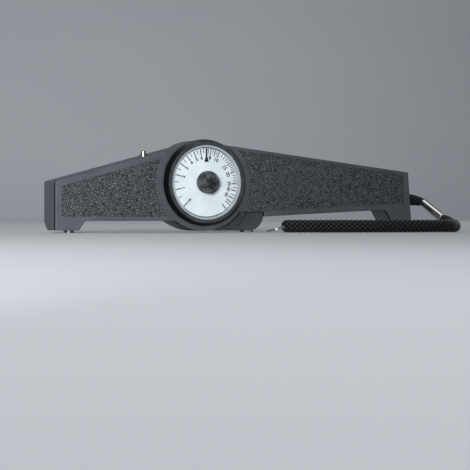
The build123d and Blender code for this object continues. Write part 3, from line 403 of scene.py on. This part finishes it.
def tube_faces(rows, columns):
    """The quads of a grid of rows by columns points whose columns close into rings."""
    r, c = np.meshgrid(np.arange(rows - 1) * columns, np.arange(columns), indexing="ij")
    n = (c + 1) % columns
    return np.stack([r + c, r + n, r + columns + n, r + columns + c], -1).reshape(-1, 4)


def distance_along(line):
    """The distance from the first point of a line to each of its points."""
    return np.concatenate([[0], np.cumsum(np.linalg.norm(np.diff(line, axis=0), axis=1))])


def even_steps(line, count):
    """Count points at equal steps along a line of points, and their distances from its start."""
    reach = distance_along(line)
    at = np.linspace(0, reach[-1], count)
    return np.stack([np.interp(at, reach, line[:, k]) for k in range(3)], 1), at


def side_and_up(line):
    """Two directions at each point: side is square to the line and level, and up is square to both."""
    tangent = np.gradient(line, axis=0)
    tangent /= np.linalg.norm(tangent, axis=1)[:, None]
    side = np.cross(tangent, [0, 0, 1])
    side /= np.linalg.norm(side, axis=1)[:, None]
    return side, np.cross(side, tangent)


STRANDS, PITCH = 8, 2.8  # strands that wind each way, and the length in which one takes the next one's place


def braid(name, line, half_side, half_up, columns, relief):
    """A braided cord along a line of points in millimetres, with its half widths to the side and up.

    Around it the angle turns from 0 to 2 pi. Two families of strands wind left and right: their counts are
    a = n angle / 2 pi + s / pitch and b = n angle / 2 pi - s / pitch, with s the distance along. Across a
    strand its height is the root of 1 - (2 frac - 1)^2. Each rises over one strand and dips under the next,
    by cos(pi (b - 1/2 + floor a)) for the first family and its opposite, with a and b changed round, for the
    second. The surface is the higher of the two, and it sinks by up to relief between them. A fan of
    triangles closes each end.
    """
    rows = len(line)
    angle = np.linspace(0, 2 * np.pi, columns, endpoint=False)[None, :]
    around = STRANDS * angle / (2 * np.pi)
    wound = distance_along(line)[:, None] / PITCH
    a, b = around + wound, around - wound
    across_a, across_b = a % 1, b % 1
    filled = 0.98  # the share of its room that a strand fills
    round_a = np.sqrt(np.clip(1 - ((2 * across_a - 1) / filled) ** 2, 0, 1))
    round_b = np.sqrt(np.clip(1 - ((2 * across_b - 1) / filled) ** 2, 0, 1))
    height_a = (round_a + np.cos(np.pi * (b - 0.5 + np.floor(a)))) / 2
    height_b = (round_b - np.cos(np.pi * (a - 0.5 + np.floor(b)))) / 2
    deepest = -0.2
    height = np.clip((np.maximum(height_a, height_b) - deepest) / (1 - deepest), 0, 1)
    across = np.where(height_a > height_b, across_a, across_b)
    side, up = side_and_up(line)
    sink = relief * (1 - height)
    wide = (half_side[:, None] - sink) * np.cos(angle)
    tall = (half_up[:, None] - sink) * np.sin(angle)
    points = line[:, None, :] + side[:, None, :] * wide[..., None] + up[:, None, :] * tall[..., None]
    points = np.concatenate([points.reshape(-1, 3), line[:1], line[-1:]])
    start, end = rows * columns, rows * columns + 1
    last_row = (rows - 1) * columns
    k = np.arange(columns)
    n = (k + 1) % columns
    faces = tube_faces(rows, columns)[:, ::-1].tolist()
    faces += np.stack([k, n, np.full(columns, start)], -1).tolist()
    faces += np.stack([last_row + n, last_row + k, np.full(columns, end)], -1).tolist()
    middles = [0.5, 0.5]
    return piece(name, points, faces, nylon_braid,
                 across_strand=np.concatenate([across.ravel(), middles]),
                 strand_height=np.concatenate([height.ravel(), middles]))


def nurbs_line(route):
    """Points in millimetres, read from the NURBS spline of order 3 that has the route's control points."""
    curve = bpy.data.curves.new("strap_route", "CURVE")
    curve.dimensions = "3D"
    curve.resolution_u = 24
    spline = curve.splines.new("NURBS")
    spline.points.add(len(route) - 1)
    for point, place in zip(spline.points, route):
        point.co = (*[v * MM for v in place], 1.0)
    spline.order_u = 3
    spline.use_endpoint_u = True
    return plain_mesh(curve)[0] / MM


# The strap's cord, on the route that the CAD's tube has
strap_route = [
    (118.08, -26.13, 7.34),
    (118.08, -35.88, 3.6),
    (113.6, -49.7, 3.6),
    (101.7, -60.4, 3.6),
    (82.1, -64.6, 3.6),
    (56.2, -62.8, 3.6),
    (31.3, -55.2, 3.6),
    (7.9, -43.8, 3.6),
]
CORD_R = 3.5
PINCHED_R = 2.5  # the cord's radius where the ferrule grips it
FOLD = 3.2  # from the middle of the ring's hole to the folded end, over which the end is rounded
cord_line, cord_at = even_steps(nurbs_line(strap_route), 760)
cord_length = cord_at[-1]
# Over 5 mm the cord swells out of the ferrule. Its folded end is an ellipse down to a quarter of its width
swell = PINCHED_R + (CORD_R - PINCHED_R) * np.clip(cord_at / 5, 0, 1) ** 0.6
to_end = np.clip((cord_length - cord_at) / FOLD, 0, 1)
cord_half = swell * (0.25 + 0.75 * np.sqrt(1 - (1 - to_end) ** 2))
strap_braid = braid("strap_braid", cord_line, cord_half, cord_half, 112, 0.9)
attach(strap_braid, "housing")
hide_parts("strap_cord")

NECK_R = 8.0  # the radius of the neck's turn, and the length of its straight end in the ferrule
NECK_FALL = math.radians(21)  # how steeply it goes into the ferrule
NECK_STARTS, NECK_BENDS = RIGHT_X - 8.9, RIGHT_X + 1.4  # in the socket, and where it begins to turn


def neck_line(count):
    """The neck's centre line: straight in the socket, then a quarter turn to the front, then straight again.

    With t from 0 to 1 along the turn, x is r sin(t pi / 2), y is -r (1 - cos(t pi / 2)), and z falls by
    r pi / 4 tan(fall) t^2, so the slope grows evenly.
    """
    share = np.linspace(0, 1, count)
    turn = share * np.pi / 2
    x = NECK_BENDS + NECK_R * np.sin(turn)
    y = MID_Y - NECK_R * (1 - np.cos(turn))
    z = STRAP_Z - NECK_R * np.pi / 4 * math.tan(NECK_FALL) * share ** 2
    curve = np.stack([x, y, z], 1)
    end = curve[-1:] + NECK_R * np.array([[0, -math.cos(NECK_FALL), -math.sin(NECK_FALL)]])
    return np.concatenate([[[NECK_STARTS, MID_Y, STRAP_Z]], curve, end])


# The neck is flat and tall in the socket and grows round towards the ferrule
FLAT_HALF, TALL_HALF, ROUND_HALF = 2.0, 3.7, 2.18
neck, neck_at = even_steps(neck_line(60), 260)
bend_from, bend_to = NECK_BENDS - NECK_STARTS, neck_at[-1] - NECK_R
share = np.clip((neck_at - bend_from) / (bend_to - bend_from), 0, 1)
neck_side = FLAT_HALF + (ROUND_HALF - FLAT_HALF) * share
neck_up = TALL_HALF + (ROUND_HALF - TALL_HALF) * share
strap_neck_braid = braid("strap_neck_braid", neck, neck_side, neck_up, 96, 0.55)
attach(strap_neck_braid, "housing")
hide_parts("strap_neck")


def split_coil(name, radius, wire, lift):
    """The split ring as one wire of almost two turns.

    The angle turns from gap to 4 pi - gap. The wire's middle runs on a circle, one lift below its plane in
    the first turn and one above in the second, and changes over by a sine half way. The wire is a circle
    across that line and closes to a point at both ends by the root of 1 - x^2.
    """
    gap = 0.3
    turn = np.linspace(gap, 4 * np.pi - gap, 560)
    quickness = 2.6  # the wire changes over in pi / 2.6 radians
    half_way = np.clip(quickness * (turn - 2 * np.pi), -np.pi / 2, np.pi / 2)
    last, before = np.array(strap_route[-1]), np.array(strap_route[-2])
    along = (last - before) / np.linalg.norm(last - before)
    tilt = math.radians(14.5)  # from the hole in the cord down to the floor
    out = along * math.cos(tilt) - np.array([0, 0, math.sin(tilt)])
    over = along * math.sin(tilt) + np.array([0, 0, math.cos(tilt)])
    beside = np.cross(over, out)
    middle = last - along * FOLD + out * radius
    spoke = out * np.cos(turn)[:, None] + beside * np.sin(turn)[:, None]
    line = middle + spoke * radius + over * (lift * np.sin(half_way))[:, None]
    to_end = np.clip(np.minimum(turn - turn[0], turn[-1] - turn) * radius / wire, 0, 1)
    thick = (wire * np.sqrt(1 - (1 - to_end) ** 2))[:, None]
    around = np.linspace(0, 2 * np.pi, 20, endpoint=False)
    points = (line[:, None, :] + spoke[:, None, :] * (thick * np.cos(around))[..., None]
              + over * (thick * np.sin(around))[..., None])
    return piece(name, points.reshape(-1, 3), tube_faces(len(turn), len(around)).tolist(), ring_steel)


ring_coil = split_coil("split_ring_coil", 5.7, 0.34, 0.33)
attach(ring_coil, "housing")
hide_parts("split_ring")


# The scale's print

INK = 0.03  # the thickness of the print, coarser than real ink so that its faces stay clear of the plate's


def scale_angle(value):
    """Degrees clockwise from the top at which the scale has a value: the magnet's pull fades with the gap."""
    far_end, fade, gap_at_zero = 152.0, 2262.0, 7.88  # fitted to where the scale's numbers stand
    return far_end - fade / (value + gap_at_zero)


def ticks(values, inner, outer, width):
    """Thin bars from radius inner to outer at each value: eight corners each, half the width to each side."""
    turn = np.radians(scale_angle(np.asarray(values, dtype=float)))
    out = np.stack([np.sin(turn), np.zeros_like(turn), np.cos(turn)], 1)
    over = np.stack([np.cos(turn), np.zeros_like(turn), -np.sin(turn)], 1)
    corners = []
    for depth in (PLATE_Y, PLATE_Y - INK):
        for radius, half in ((inner, -1), (inner, 1), (outer, 1), (outer, -1)):
            corners.append([DIAL_X, depth, AXIS_Z] + out * radius + over * half * width / 2)
    points = np.stack(corners, 1).reshape(-1, 3)
    box = np.array([[0, 1, 2, 3], [7, 6, 5, 4], [0, 4, 5, 1], [1, 5, 6, 2], [2, 6, 7, 3], [3, 7, 4, 0]])
    faces = (box[None] + 8 * np.arange(len(turn))[:, None, None]).reshape(-1, 4)
    return points, faces


def numeral(text, size, degrees, radius):
    """The points and faces of one numeral, whose top points outwards at that angle."""
    font = bpy.data.curves.new("numeral", "FONT")
    font.body = text
    font.size = size
    font.align_x = "CENTER"
    font.align_y = "CENTER"
    font.extrude = INK / 2
    font.offset = 0.1  # bolder strokes
    font.resolution_u = 3
    shape, faces = plain_mesh(font)
    turn = math.radians(degrees)
    over, out = shape[:, 0], shape[:, 1] + radius
    x = DIAL_X + out * math.sin(turn) + over * math.cos(turn)
    z = AXIS_Z + out * math.cos(turn) - over * math.sin(turn)
    y = PLATE_Y - INK / 2 - shape[:, 2]
    return np.stack([x, y, z], 1), faces


def joined(lots):
    """Several lots of points and faces as one."""
    points, faces, first = [], [], 0
    for some_points, some_faces in lots:
        points.append(some_points)
        faces += [[first + int(corner) for corner in face] for face in some_faces]
        first += len(some_points)
    return np.concatenate(points), faces


small_steps = [*np.arange(0, 10, 0.5), *range(10, 20), *range(20, 30, 2), 35, 50]
main_steps = [*range(11), 15, 20, 30, 40, 60, 80, 100, 200]
numbers = [0, 1, 2, 3, 4, 5, 6, 8, 10, 15, 20, 30, 40, 60]
RIM, SMALL_FROM, MAIN_FROM, NUMBERS_AT = 18.7, 16.3, 15.3, 13.8  # radii of the print
lots = [ticks(small_steps, SMALL_FROM, RIM, 0.42), ticks(main_steps, MAIN_FROM, RIM, 0.56)]
for value in numbers:
    size = 2.8 if value < 30 else 2.4
    lots.append(numeral(str(value), size, scale_angle(value), NUMBERS_AT))
scale_print = piece("scale_print", *joined(lots), black_ink, smooth=False)
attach(scale_print, "housing")

# The pointer, screened on the underside of the window: a bold line with a triangle at its foot
half_line, half_foot = 0.42, 1.35
line_top, line_foot, triangle_foot = 18.8, 14.3, 11.4
pointer_low, pointer_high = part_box("pointer")
outline = [(-half_line, line_top), (half_line, line_top), (half_line, line_foot),
           (half_foot, triangle_foot), (-half_foot, triangle_foot), (-half_line, line_foot)]
pointer_depths = (pointer_low[1] / MM, pointer_high[1] / MM)
pointer_points = [(DIAL_X + x, y, AXIS_Z + z) for y in pointer_depths for x, z in outline]
pointer_faces = [[0, 1, 2, 3, 4, 5], [11, 10, 9, 8, 7, 6]]
pointer_faces += [[k, k + 6, (k + 1) % 6 + 6, (k + 1) % 6] for k in range(6)]
pointer_print = piece("pointer_print", pointer_points, pointer_faces, black_ink, smooth=False)
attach(pointer_print, "wheel")
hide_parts("pointer")


# Floor, lights and camera, in metres


def sweep_backdrop():
    """A floor that turns up into a wall: straight, a quarter circle, straight, carried along X.

    Its material is matt paper: pale and even, with no highlight.
    """
    bend, wall, top, front, half_width = 0.5, 1.6, 3.5, -3.0, 4.0
    sunk = 0.00003  # clear of the feet
    arc = np.linspace(0, np.pi / 2, 33)
    y = np.concatenate([[front], wall - bend + bend * np.sin(arc), [wall]])
    z = np.concatenate([[0.0], bend - bend * np.cos(arc), [top]]) - sunk
    rows = np.arange(len(y) - 1)
    left, right = ([np.full_like(y, x), y, z] for x in (-half_width, half_width))
    points = np.stack([np.stack(left, 1), np.stack(right, 1)], 1).reshape(-1, 3)
    faces = np.stack([2 * rows, 2 * rows + 1, 2 * rows + 3, 2 * rows + 2], -1).tolist()
    material, tree, shader, place = finish_of("matt_paper_backdrop", 0.9)
    patch = 1 / 3
    cloud = add(tree, "ShaderNodeTexNoise", {"Vector": place, "Scale": 1 / patch, "Detail": 2.0})
    tree.links.new(two_tones(tree, cloud.outputs[0], "d3d8de", "dadee3"), shader.inputs["Base Color"])
    return piece("backdrop", points / MM, faces, material)


sweep_backdrop()


def soft_lamp(name, place, target, size, power, spread=180):
    """A square area lamp that looks at a point, with its size in metres and its power in watts.

    A spread below 180 degrees is a softbox with a grid on it.
    """
    lamp = bpy.data.lights.new(name, "AREA")
    lamp.shape = "SQUARE"
    lamp.size = size
    lamp.energy = power
    lamp.spread = math.radians(spread)
    thing = bpy.data.objects.new(name, lamp)
    thing.location = place
    thing.rotation_euler = (Vector(target) - Vector(place)).to_track_quat("-Z", "Y").to_euler()
    bpy.context.collection.objects.link(thing)


# The key is low and to the left, with a grid, so it reaches the left arm and the dial more than the right arm
soft_lamp("key", (-0.58, -0.76, 0.15), (-0.21, 0, 0.045), 0.4, 0.78, 39)
soft_lamp("back", (1.3, 1.0, 0.3), (0, 0, 0.03), 0.6, 0.45, 60)
soft_lamp("top", (0.12, 0.93, 1.18), (0.05, 0, 0.02), 0.5, 1.0)
# These two are for the floor in front and the wall behind
soft_lamp("floor", (-0.33, -0.8, 1.4), (-0.33, -0.8, 0), 0.6, 1.6, 58)
soft_lamp("backdrop", (0, 0.3, 1.5), (0.2, 1.6, 0.2), 1.0, 3.2)

world = bpy.data.worlds.new("studio")
world.use_nodes = True
sky = world.node_tree.nodes["Background"]
sky.inputs["Color"].default_value = linear("e8ecf0")
sky.inputs["Strength"].default_value = 0.23
bpy.context.scene.world = world
bpy.context.scene.view_settings.view_transform = "Standard"

# The camera looks from 23 degrees to the left of the front, a little above the floor
lens = bpy.data.cameras.new("photo_view")
lens.lens = 154.65
lens.sensor_width = 36.0
lens.clip_start = 0.05
lens.clip_end = 20.0
camera = bpy.data.objects.new("photo_view", lens)
camera.location = (-0.446975, -1.04685, 0.0122)
sight = Vector((0.3920, 0.9199, -0.0122))
camera.rotation_euler = sight.to_track_quat("-Z", "Y").to_euler()
bpy.context.collection.objects.link(camera)
bpy.context.scene.camera = camera
